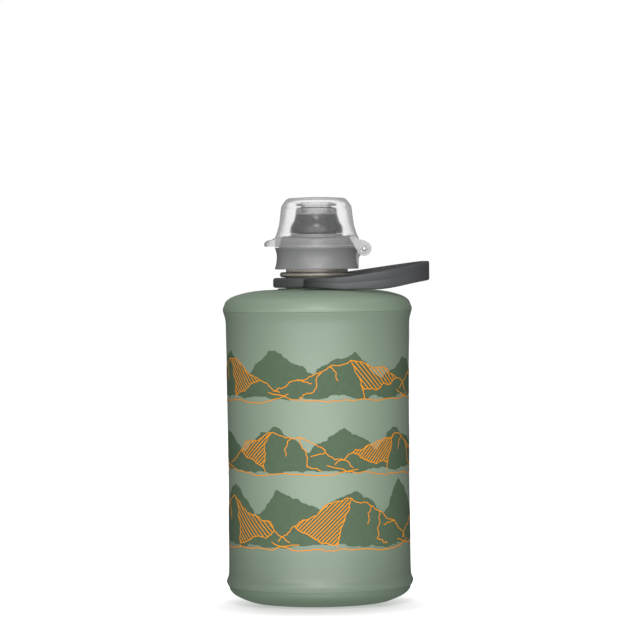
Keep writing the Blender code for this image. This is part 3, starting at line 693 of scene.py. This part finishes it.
def silhouette(name, ridge, foot, seed):
    """A dark range: a ragged ridge through (place, height) points above a ragged foot line."""
    wrapped = ridge + [(ridge[0][0] + GIRTH, ridge[0][1])]
    top_line = rough_line(wrapped, seed, 0.15, 0.5)
    dice = random.Random(seed + 1)
    steps = [(ridge[0][0] + GIRTH * i / 30, dice.uniform(-1.1, 0.9)) for i in range(30)]
    foot_line = rough_line(steps + [(steps[0][0] + GIRTH, steps[0][1])], seed + 2, 0.12, 0.5)

    def level(line, s):
        places = np.maximum.accumulate([a for a, b in line])
        return float(np.interp((s - ridge[0][0]) % GIRTH + ridge[0][0], places, [b for a, b in line]))

    columns, rows = 900, 9
    spans = []
    for i in range(columns):
        s = ridge[0][0] + GIRTH * i / columns
        top, base = level(top_line, s), level(foot_line, s)
        spans.append((s, foot + base, foot + max(top, base + 0.05)))
    verts, faces = [], []
    height = rows + 1
    for s, base, top in spans:
        for lift in (0.02, DARK_LIFT):
            verts += [on_film(s, base + (top - base) * j / rows, lift) for j in range(height)]
    for i in range(columns):
        a, b = 2 * height * i, 2 * height * ((i + 1) % columns)
        for j in range(rows):
            faces.append((a + j, b + j, b + j + 1, a + j + 1))
            faces.append((a + height + j, a + height + j + 1, b + height + j + 1, b + height + j))
        for j in (0, rows):
            faces.append((a + j, a + height + j, b + height + j, b + j))
    return to_object(name, verts, faces)


def wander(a, b, dice, bow=0.0, loose=0.045):
    """A ridge line that strays from the straight way between two points."""
    length = math.dist(a, b)
    nx, nz = -(b[1] - a[1]) / length, (b[0] - a[0]) / length
    points = [a]
    for share in (0.22, 0.45, 0.68, 0.86):
        off = length * (bow * math.sin(math.pi * share) + dice.uniform(-loose, loose))
        points.append((
            a[0] + (b[0] - a[0]) * share + nx * off,
            a[1] + (b[1] - a[1]) * share + nz * off,
        ))
    return rough_line(points + [b], dice.randrange(10**6))


def mountain(lines, foot, summit, left, right, spur, side, slant, seed):
    """One drawn mountain: ridge lines, inner spurs, a hatched face and a wavy base line.

    summit, left and right are (place, height above the foot line); spur is where the inner
    ridge meets the foot, and side is 1 where the right flank is hatched and -1 for the left.
    """
    dice = random.Random(seed)
    top = (summit[0], foot + summit[1])
    left_foot = (left[0], foot + left[1])
    right_foot = (right[0], foot + right[1])
    left_ridge = wander(top, left_foot, dice, bow=-0.05)
    right_ridge = wander(top, right_foot, dice, bow=0.05)
    lit, dark = (left_ridge, right_ridge) if side > 0 else (right_ridge, left_ridge)
    spur_foot = (spur, foot + dice.uniform(-1.2, -0.2))
    spur_line = wander(top, spur_foot, dice, bow=0.08 * side, loose=0.07)

    first, last = int(len(dark) * 0.05), int(len(dark) * dice.uniform(0.66, 0.8))
    head, tail = int(len(spur_line) * 0.12), int(len(spur_line) * dice.uniform(0.8, 0.94))
    edge = wander(dark[last], spur_line[tail], dice, bow=0.06 * side, loose=0.06)
    face = dark[first:last] + edge + list(reversed(spur_line[head:tail]))
    lines += [(left_ridge, LINE_WIDTH), (right_ridge, LINE_WIDTH)]
    lines += [(spur_line, LINE_WIDTH), (edge, LINE_WIDTH)]
    lines += [(stroke, HATCH_WIDTH) for stroke in hatch(face, slant, dice.uniform(1.08, 1.5))]

    branch = lit[int(len(lit) * dice.uniform(0.3, 0.42))]
    reach = spur - side * abs(lit[-1][0] - spur) * dice.uniform(0.42, 0.58)
    valley = (reach, foot + dice.uniform(1.2, 3.2))
    lines.append((wander(branch, valley, dice, bow=-0.09 * side, loose=0.08), LINE_WIDTH))
    shelf = (valley[0] - side * dice.uniform(4.0, 7.0), foot + dice.uniform(-0.4, 0.8))
    lines.append((wander(valley, shelf, dice, loose=0.1), LINE_WIDTH))

    share = dice.uniform(0.55, 0.68)
    ledge = lit[int(len(lit) * share)]
    inward = (ledge[0] + side * dice.uniform(4.5, 7.5), ledge[1] - dice.uniform(0.2, 1.6))
    lines.append((wander(ledge, inward, dice, loose=0.1), LINE_WIDTH))
    crag = lit[int(len(lit) * (share - 0.40))]
    inward = (crag[0] + side * dice.uniform(2.0, 3.5), crag[1] - dice.uniform(4.5, 7.5))
    lines.append((wander(crag, inward, dice, bow=0.1 * side, loose=0.08), LINE_WIDTH))

    level = foot - dice.uniform(1.0, 2.2)
    lines.append((rough_line([
        (left_foot[0] - dice.uniform(2, 5), left_foot[1] - 0.3),
        (left_foot[0] + 6.0, level + dice.uniform(0.3, 1.2)),
        (summit[0] - 6.0, level + dice.uniform(-0.7, 0.3)),
        (spur + 2.0, level + dice.uniform(-0.3, 0.8)),
        (right_foot[0] - 8.0, level + dice.uniform(-0.8, 0.2)),
        (right_foot[0] + dice.uniform(1, 4), right_foot[1] - 0.6),
    ], seed + 1, 0.07), LINE_WIDTH))


def invent_band(tallest, dice):
    """A band's dark ridge, as (place, height) points, and the facts of its drawn mountains.

    Each drawn mountain has a dark peak behind it, and a plain dark peak stands between it and the
    next.
    """
    gap = GIRTH / PEAKS
    start = dice.uniform(0, gap) - GIRTH / 2
    ridge, mountains = [], []
    for i in range(PEAKS):
        place = start + gap * (i + dice.uniform(-0.05, 0.05))
        height = tallest * dice.uniform(0.66, 0.82)
        side = dice.choice((-1, 1))
        ridge += [
            (place - gap * 0.09, height * 0.98),
            (place + gap * 0.03, height * dice.uniform(1.04, 1.16)),
            (place + gap * 0.26, tallest * dice.uniform(0.34, 0.52)),
            (place + gap * dice.uniform(0.44, 0.56), tallest * dice.uniform(0.74, 1.0)),
            (place + gap * 0.76, tallest * dice.uniform(0.34, 0.52)),
        ]
        mountains.append({
            "summit": (place, height * dice.uniform(0.92, 0.98)),
            "left": (place - gap * dice.uniform(0.48, 0.58), dice.uniform(0.6, 2.6)),
            "right": (place + gap * dice.uniform(0.48, 0.58), dice.uniform(0.6, 2.6)),
            "spur": place + side * dice.uniform(3.0, 6.5),
            "side": side,
            "slant": -side * dice.uniform(34, 58),
            "seed": dice.randrange(10**6),
        })
    return ridge, mountains


def print_bands():
    """The three bands of ink."""
    pieces = []
    for number, (foot, tallest, seed) in enumerate(BANDS, 1):
        ridge, mountains = invent_band(tallest, random.Random(seed))
        pieces.append((silhouette(f"print_range_{number}", ridge, foot, 11 * number), "dark_ink"))
        lines = []
        for facts in mountains:
            mountain(lines, foot, **facts)
        pieces.append((ribbons(f"print_lines_{number}", lines), "orange_ink"))
    return pieces


# ---- Neck, strap, cap, spout and cover ----
def thread_ridge(name, root, crest, start, end, lead):
    """A helical ridge with ends that fade into the wall; lead is its offset from the neck's own."""
    sections = 150
    rings = []
    for i in range(sections + 1):
        angle = start + (end - start) * i / sections
        height = THREAD_START + lead + THREAD_PITCH * angle / (2 * math.pi)
        share = ease(min(i, sections - i) / 12)
        top = root + (crest - root) * (0.15 + 0.85 * share)
        corners = [(root, -0.95), (top, -0.5), (top, 0.5), (root, 0.95)]
        rings.append([(r * math.cos(angle), r * math.sin(angle), height + dz) for r, dz in corners])
    return skin(name, rings)


def clear_neck():
    """The clear neck with its bead and thread."""
    top = 126.0
    outline = fillet([
        (18.0, top - 1.2, 0.2),
        (18.0, top, 0.2),
        (NECK_RADIUS, top, 0.1),
        (NECK_RADIUS, BEAD_LOW - 0.2, 0.15),
        (BEAD_RADIUS - 0.6, BEAD_LOW, 0.4),
        (BEAD_RADIUS, BEAD_LOW + 0.6, 0.4),
        (BEAD_RADIUS, BEAD_HIGH - 0.5, 0.4),
        (BEAD_RADIUS - 0.5, BEAD_HIGH, 0.3),
        (NECK_RADIUS, BEAD_HIGH, 0.3),
        (NECK_RADIUS, NECK_LIP, 0.4),
        (NECK_BORE, NECK_LIP, 0.3),
        (NECK_BORE, top, 0.5),
        (NECK_BORE + 1.0, top - 1.2, 0.2),
    ])
    made = revolve("neck_clear", outline)
    thread = thread_ridge("thread", NECK_RADIUS - 0.4, NECK_THREAD_CREST, 0.0, 3 * math.pi, 0.0)
    return combine(made, thread, "UNION")


def strap_ring():
    """The strap's ring with its rounded rims and the two trunnions."""
    outline = fillet([
        (NECK_RADIUS + 0.35, RING_LOW, 0.3),
        (RING_RADIUS, RING_LOW, 1.0),
        (RING_RADIUS, RING_HIGH, 1.0),
        (NECK_RADIUS + 0.35, RING_HIGH, 0.3),
    ], steps=8)
    made = revolve("strap_ring_band", outline)
    for side in (-1, 1):
        ends = sorted((side * 16.0, side * 19.6))
        trunnion = prism("trunnion", disc(PIVOT_X, PIVOT_Z, TRUNNION_RADIUS, steps=40), *ends)
        combine(made, trunnion, "UNION")
    return made


def strand_height(x):
    """The loop's lower and upper edges at a distance along X."""
    bottom = 128.25 + 2.7 * ease((x - 24.0) / 21.8)
    top = 132.1 + 6.7 * (max(0.0, x - PIVOT_X) / 49.4) ** 1.25
    return bottom, top


def strand_offset(x):
    """Half the loop's width at its centreline, seen from above."""
    if x < 13.5:
        return 19.4 + 1.8 * ease((x + 3.0) / 13.0)
    share = (x - 13.5) / 31.15
    return 21.2 * math.sqrt(max(0.0, 1 - share * share))


def carry_loop():
    """The carry loop: a soft band on edge with a faint mould line and an eye at each end.

    The soft band leans a little, so its far strand lies higher than its near one.
    """
    half = 1.15
    lean = 0.8 / 21.2
    side = [(PIVOT_X + EYE_RADIUS * math.cos(math.radians(a)), 19.4) for a in range(176, 89, -7)]
    side += [(PIVOT_X + (13.5 - PIVOT_X) * i / 24, 0) for i in range(1, 25)]
    side = [(x, strand_offset(x)) for x, y in side]
    for i in range(1, 49):
        angle = math.radians(90 - 90 * i / 48)
        side.append((13.5 + 31.15 * math.cos(angle), 21.2 * math.sin(angle)))
    route = side + [(x, -y) for x, y in reversed(side[:-1])]
    rings = []
    for i, (x, y) in enumerate(route):
        a, b = route[max(i - 1, 0)], route[min(i + 1, len(route) - 1)]
        length = math.dist(a, b)
        across = (-(b[1] - a[1]) / length, (b[0] - a[0]) / length)
        if x < PIVOT_X + 1:
            across = (0.0, 1.0 if y > 0 else -1.0)
        bottom, top = strand_height(x)
        if x < PIVOT_X:
            rise = EYE_RADIUS * max(0.08, 1 - ((PIVOT_X - x) / EYE_RADIUS) ** 5) ** 0.2
            bottom, top = PIVOT_Z - rise, PIVOT_Z + rise
        corner = min(0.6, (top - bottom) / 2.6)
        middle = (bottom + top) / 2
        section = fillet([
            (-half, bottom, corner), (half, bottom, corner),
            (half + 0.02, middle - 0.22, 0.0), (half - 0.03, middle, 0.0), (half + 0.02, middle + 0.22, 0.0),
            (half, top, corner), (-half, top, corner),
        ], steps=6)
        lift = lean * y * ease((x + 2.0) / 14.0)
        rings.append([(x + across[0] * u, y + across[1] * u, z + lift) for u, z in section])
    made = skin("carry_loop", rings)
    for sign in (-1, 1):
        drill(made, PIVOT_X, PIVOT_Z, EYE_BORE, *sorted((sign * 16.4, sign * 19.9)))
    return made


def cap_body():
    """The screw cap: waisted skirt, cone, deck, turret and spout socket, with the hinge lug."""
    skirt = curve([(17.1, 136.3), (16.7, 137.6), (16.4, 139.2), (16.3, 140.9), (16.5, 142.8),
                   (16.95, 144.3)], per=6)
    outer = fillet([(14.6, CAP_LOW, 0.25), (16.95, CAP_LOW, 0.35)], closed=False) + skirt
    upper = fillet([
        (16.9, 144.7, 0.25),
        (15.4, 144.7, 0.1),
        (15.2, 145.4, 0.3),
        (14.4, 147.9, 0.45),
        (10.6, 147.9, 0.6),
        (10.6, 150.0, 0.3),
        (8.0, 150.0, 0.2),
        (8.0, 146.1, 0.0),
        (8.6, 145.9, 0.0),
        (8.6, 144.9, 0.0),
        (8.0, 144.7, 0.0),
        (8.0, 144.2, 0.2),
        (0.0, 144.2, 0.0),
        (0.0, 143.2, 0.0),
        (10.3, 143.2, 0.3),
        (10.3, 147.0, 0.2),
        (13.6, 147.0, 0.2),
        (13.6, 145.6, 0.1),
        (14.3, 144.6, 0.1),
        (14.3, CAP_LOW + 0.3, 0.1),
    ], closed=False)
    made = revolve("cap_body", outer + upper)
    first, last, lead = math.pi, 3.4 * math.pi, -THREAD_PITCH / 2
    combine(made, thread_ridge("thread", CAP_THREAD_ROOT, CAP_THREAD_CREST, first, last, lead), "UNION")
    knuckle = disc(HINGE_X, HINGE_Z, 1.95, 90, -90, 24)
    web = curve([(HINGE_X - 0.7, 141.9), (HINGE_X - 1.5, 141.2), (17.25, 140.3), (17.1, 139.2)], per=4)
    pad = [(17.1, CAP_LOW + 0.5), (16.7, CAP_LOW), (15.2, CAP_LOW), (15.2, 144.4), (16.6, 145.4)]
    combine(made, prism("lug", knuckle + web + pad, -LUG_HALF, LUG_HALF), "UNION")
    ends = ((-BARREL_HALF, 1.9), (0.2 - BARREL_HALF, 2.1), (BARREL_HALF - 0.2, 2.1), (BARREL_HALF, 1.9))
    barrel = [[(x, y, z) for x, z in disc(HINGE_X, HINGE_Z, radius, steps=60)] for y, radius in ends]
    combine(made, skin("barrel", barrel), "UNION")
    drill(made, HINGE_X, HINGE_Z, BARREL_BORE, -8.6, 8.6)
    for turn in (0.0, math.pi):
        spread = [turn + math.radians(70) * (i / 12 - 0.5) for i in range(13)]
        sector = [(5.2 * math.cos(a), 5.2 * math.sin(a)) for a in spread]
        sector += [(1.2 * math.cos(a), 1.2 * math.sin(a)) for a in (spread[-1], spread[0])]
        window = skin("port", [[(x, y, z) for x, y in sector] for z in (142.2, 144.7)])
        combine(made, window, "DIFFERENCE")
    return made


def nozzle_soft():
    """The soft drinking nozzle: flared foot, concave throat and a rounded mouth."""
    flank = curve([(10.7, 150.95), (10.66, 152.0), (10.5, 153.1), (10.05, 154.4), (9.4, 155.5),
                   (8.85, 156.8), (8.5, 158.3), (8.32, 159.6), (8.22, 160.5)], per=6)
    mouth = fillet([(8.2, 161.1, 0.5), (6.5, 161.1, 0.45), (6.5, 157.3, 0.6), (7.5, 155.4, 0.5),
                    (7.7, 154.6, 0.2), (9.3, 153.7, 0.1), (9.3, 152.6, 0.0), (9.65, 152.6, 0.1),
                    (9.65, 151.0, 0.1), (8.22, 151.0, 0.1), (8.22, 150.4, 0.1), (10.6, 150.4, 0.25)],
                   closed=False)
    return revolve("nozzle_soft", flank + mouth)


def cover_clear():
    """The clear shell of the dust cover, open towards the hinge."""
    outer = [(17.35, COVER_RIM), (17.4, 147.9)]
    outer += curve([(17.3, 148.2), (16.9, 148.9), (16.3, 150.3), (15.8, 151.9), (15.3, 153.7),
                    (15.0, 155.6), (14.74, 157.6), (14.52, 159.6), (14.35, 160.9), (14.05, 161.7),
                    (13.3, 162.8), (12.5, 163.8), (11.8, 164.4), (10.8, 164.72), (8.5, 164.88),
                    (4.5, 165.02), (0.0, COVER_TOP)], per=5)
    inner = [(0.0, COVER_CEILING)] + fillet([
        (9.8, COVER_CEILING - 0.1, 0.5),
        (11.6, 162.4, 1.4),
        (12.6, 160.2, 1.2),
    ], closed=False)
    inner += curve([(12.72, 159.1), (13.3, 155.9), (14.2, 152.6), (15.3, 149.7)], per=5)
    inner += fillet([(15.7, 148.6, 0.8), (15.75, 147.0, 0.0), (15.75, COVER_RIM, 0.0)], closed=False)
    made = revolve("cover_clear", outer + inner)
    notch = [(13.0, 143.0), (24.0, 143.0), (24.0, 147.0), (13.0, 147.0)]
    return combine(made, prism("notch", notch, -EAR_INNER, EAR_INNER), "DIFFERENCE")


def cover_ear(name, side):
    """One hinge ear: a round eye with a sunk face, and a gusset that runs up into the cover's wall."""
    first, last = sorted((side * EAR_INNER, side * EAR_OUTER))
    gusset = [(13.3, 148.7), (15.6, 148.9), (17.2, 147.8), (19.6, 147.2)]
    made = prism(name, disc(HINGE_X, HINGE_Z, EAR_RADIUS, 45, -151, 44) + gusset, first, last)
    drill(made, HINGE_X, HINGE_Z, 2.1, *sorted((side * (EAR_OUTER - 0.35), side * (EAR_OUTER + 1))), steps=60)
    return drill(made, HINGE_X, HINGE_Z, EAR_BORE, first - 1, last + 1)


def thumb_tab():
    """The thumb tab, a little cloudier than the shell."""
    outline = fillet([(17.2, 145.1, 0.0), (21.35, 145.1, 0.45), (21.3, 146.6, 0.7), (20.2, 147.55, 0.8),
                      (18.4, 147.85, 0.8), (17.2, 148.6, 0.0)])
    span = (math.pi - math.radians(16.5), math.pi + math.radians(16.5))
    return revolve("thumb_tab", outline, 32, span)


def painted_highlight_rim():
    """The cover's lower edge in the cloudier plastic, so that it shows a light line: a painted highlight."""
    notch = math.asin((EAR_INNER + 0.1) / 17.0)
    outline = [(15.9, 145.03), (17.37, 145.03), (17.43, 145.2), (17.37, 145.42), (15.9, 145.3)]
    return revolve("painted_highlight_rim", outline, 150, (notch, 2 * math.pi - notch))


def cover_plug():
    """The plug ring that seals in the nozzle's mouth."""
    return revolve("cover_plug", fillet([
        (4.9, COVER_CEILING + 0.02, 0.0),
        (4.9, 158.7, 0.2),
        (6.2, 158.7, 0.4),
        (6.2, COVER_CEILING + 0.02, 0.0),
    ]))


def hinge_pin():
    """The steel pin with chamfered ends."""
    rings = []
    flat = PIN_HALF - 0.2
    for y, radius in ((-PIN_HALF, 0.55), (-flat, PIN_RADIUS), (flat, PIN_RADIUS), (PIN_HALF, 0.55)):
        rings.append([(x, y, z) for x, z in disc(HINGE_X, HINGE_Z, radius, steps=40)])
    return skin("hinge_pin", rings)


def fold_up(piece):
    """Give a piece of the film a mesh of its own."""
    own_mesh(piece)


fold_up(place(film_sleeve(), "base", "film", "film", "sleeve"))
for ink, finish in print_bands():
    fold_up(place(ink, "base", finish, "film"))
place(base_moulding(), "base", "base_tpu", "base_tpu", "base_cup")
place(shoulder_moulding(), "top", "shoulder_tpu", "shoulder_tpu", "shoulder")
neck = place(clear_neck(), "top", "clear_neck", "clear_neck", "neck")
place(strap_ring(), "ring", "strap", "strap", "strap_ring")
place(carry_loop(), "bail", "strap_painted_shade", "strap", "bail_loop")
place(cap_body(), "cap", "cap", "cap", "cap_shell")
place(nozzle_soft(), "spout", "nozzle", "nozzle", "spout_nozzle")
cover = place(cover_clear(), "cover", "clear_cover", "clear_cover", "dust_cover")
# The ears and tab are cloudier plastic; the cloudy rim among them is a painted highlight along the cover's
# lower edge.
for fitting in (cover_ear("ear_near", -1), cover_ear("ear_far", 1), thumb_tab(), painted_highlight_rim()):
    place(fitting, "cover", "cloudy_cover_and_highlight", "clear_cover")
    fitting.visible_shadow = False
    fitting.visible_glossy = False
place(cover_plug(), "cover", "plug", "clear_cover")
place(hinge_pin(), "cover", "steel", "steel", "cover_hinge_pin")
for node, finish in (
    ("cap_gasket", "gasket"),
    ("spout_seal", "gasket"),
    ("spout_insert", "insert"),
    ("slit_valve", "valve"),
):
    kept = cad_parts[node]
    kept.data.materials.clear()
    kept.data.materials.append(MATERIALS[finish])
    smooth(kept)
# Reflections pass over the cover's thin walls, so that the parts under it mirror the lights.
cover.visible_glossy = False
cover.visible_shadow = False
neck.visible_shadow = False


# ---- Floor, light and camera ----
def plane(name, size, z):
    """A flat square floor."""
    half = size / 2
    data = bpy.data.meshes.new(name)
    corners = [(-half, -half, z), (half, -half, z), (half, half, z), (-half, half, z)]
    data.from_pydata(corners, [], [(0, 1, 2, 3)])
    made = bpy.data.objects.new(name, data)
    bpy.context.scene.collection.objects.link(made)
    return made


# The floor's glow at the middle of its painted contact shadow.
PAINTED_SHADOW_GLOW = 0.40
AMBIENT = 0.12
CLEAR_GLOW = 0.42
KEY_POWER = 27.2
GLINT_POWER = 9.0
TOP_POWER = 4.0
BOUNCE_POWER = 2.6
FILL_POWER = 12.0


def softbox(name, location, target, width, height, power):
    """A rectangular area light aimed at a point."""
    lamp = bpy.data.lights.new(name, "AREA")
    lamp.shape = "RECTANGLE"
    lamp.size = width
    lamp.size_y = height
    lamp.energy = power
    made = bpy.data.objects.new(name, lamp)
    made.location = location
    aim = Vector(target) - Vector(location)
    made.rotation_euler = aim.to_track_quat("-Z", "Y").to_euler()
    bpy.context.scene.collection.objects.link(made)
    return made


floor = plane("floor", 8.0, -0.0002)
floor_material, floor_shader = new_material("floor", 0.9, specular=0.0)
floor_tree = floor_material.node_tree
mottle = ramp(floor_tree, noise(floor_tree, 3), 0, 1)
floor_grey = mix_colour(floor_tree, mottle, (0.58, 0.58, 0.58), (0.60, 0.60, 0.60))
floor_tree.links.new(floor_grey, floor_shader.inputs["Base Color"])
# The floor glows, more with distance, so that it runs out into a white backdrop; the weaker glow round the
# bottle, centred a little in front of it, is a painted contact shadow.
painted_shadow_coords = floor_tree.nodes.new("ShaderNodeTexCoord")
reach = floor_tree.nodes.new("ShaderNodeVectorMath")
reach.operation = "DISTANCE"
reach.inputs[1].default_value = (0.0, -0.020, 0.0)
floor_tree.links.new(painted_shadow_coords.outputs["Object"], reach.inputs[0])
floor_shader.inputs["Emission Color"].default_value = (1.0, 1.0, 1.0, 1.0)
# Painted contact shadow: the glow is weakest round a point just in front of the bottle.
floor_tree.links.new(
    ramp(floor_tree, reach.outputs["Value"], PAINTED_SHADOW_GLOW, 1.0, 0.024, 0.066),
    floor_shader.inputs["Emission Strength"],
)
floor.data.materials.append(floor_material)
floor.visible_glossy = False
floor.visible_diffuse = False
floor.visible_shadow = False

key = softbox("key", (-0.08, -1.8, 0.50), (0, 0, 0.10), 3.0, 1.2, KEY_POWER)
softbox("top", (0.0, 0.0, 1.3), (0, 0, 0), 1.6, 1.6, TOP_POWER)
bounce = softbox("bounce", (0.0, -0.38, -0.48), (0, 0, 0.0), 0.5, 0.35, BOUNCE_POWER)
bounce.visible_glossy = False
glint = softbox("glint", (0.0, -1.45, 1.25), (0, 0, 0.14), 0.5, 0.35, GLINT_POWER)
fill = softbox("fill", (0.1, 1.8, 0.6), (0, 0, 0.10), 1.6, 1.2, FILL_POWER)
fill.visible_camera = False
fill.visible_glossy = False
fill.visible_transmission = False

# The clear shell doesn't mirror the front lights: a real set hides that with a polariser.
# The fill lights the object from behind and leaves the floor alone.
spared = bpy.data.collections.new("spared")
spared.objects.link(cover)
for lamp in (key, glint):
    lamp.light_linking.receiver_collection = spared
no_floor = bpy.data.collections.new("no_floor")
no_floor.objects.link(floor)
fill.light_linking.receiver_collection = no_floor
for entry in (*spared.collection_objects, *no_floor.collection_objects):
    entry.light_linking.link_state = "EXCLUDE"

world = bpy.data.worlds.new("studio")
bpy.context.scene.world = world
world.use_nodes = True
studio = world.node_tree
ray = studio.nodes.new("ShaderNodeLightPath")


def after(depth, none_yet, some):
    """One strength while a light path has no bounce of a kind, and another once it has."""
    return mix_number(studio, ray.outputs[depth], none_yet, some)


# White behind the bottle and through its clear parts, grey inside their edges, dim for all else.
inside = after("Transmission Depth", AMBIENT, CLEAR_GLOW)
strength = after("Diffuse Depth", after("Glossy Depth", 1.0, inside), AMBIENT)
studio.links.new(strength, studio.nodes["Background"].inputs["Strength"])
studio.nodes["Background"].inputs["Color"].default_value = (1, 1, 1, 1)

scene = bpy.context.scene
scene.view_settings.view_transform = "Standard"
scene.view_settings.look = "None"

LENS = 210.9375
SENSOR = 36.0
DISTANCE = 1.5287
EYE_LEVEL = 0.1452
AIM_LEVEL = 0.1150
SIDE_STEP = 0.00106
ROLL = math.radians(-0.59)
camera_data = bpy.data.cameras.new("camera")
camera_data.sensor_width = SENSOR
camera_data.lens = LENS
camera_data.clip_start = 0.05
camera = bpy.data.objects.new("camera", camera_data)
scene.collection.objects.link(camera)
camera.location = (SIDE_STEP, -DISTANCE, EYE_LEVEL)
aim = Vector((SIDE_STEP, 0, AIM_LEVEL)) - camera.location
camera.rotation_mode = "QUATERNION"
camera.rotation_quaternion = (
    aim.to_track_quat("-Z", "Y") @ Matrix.Rotation(ROLL, 4, "Z").to_quaternion()
)
scene.camera = camera
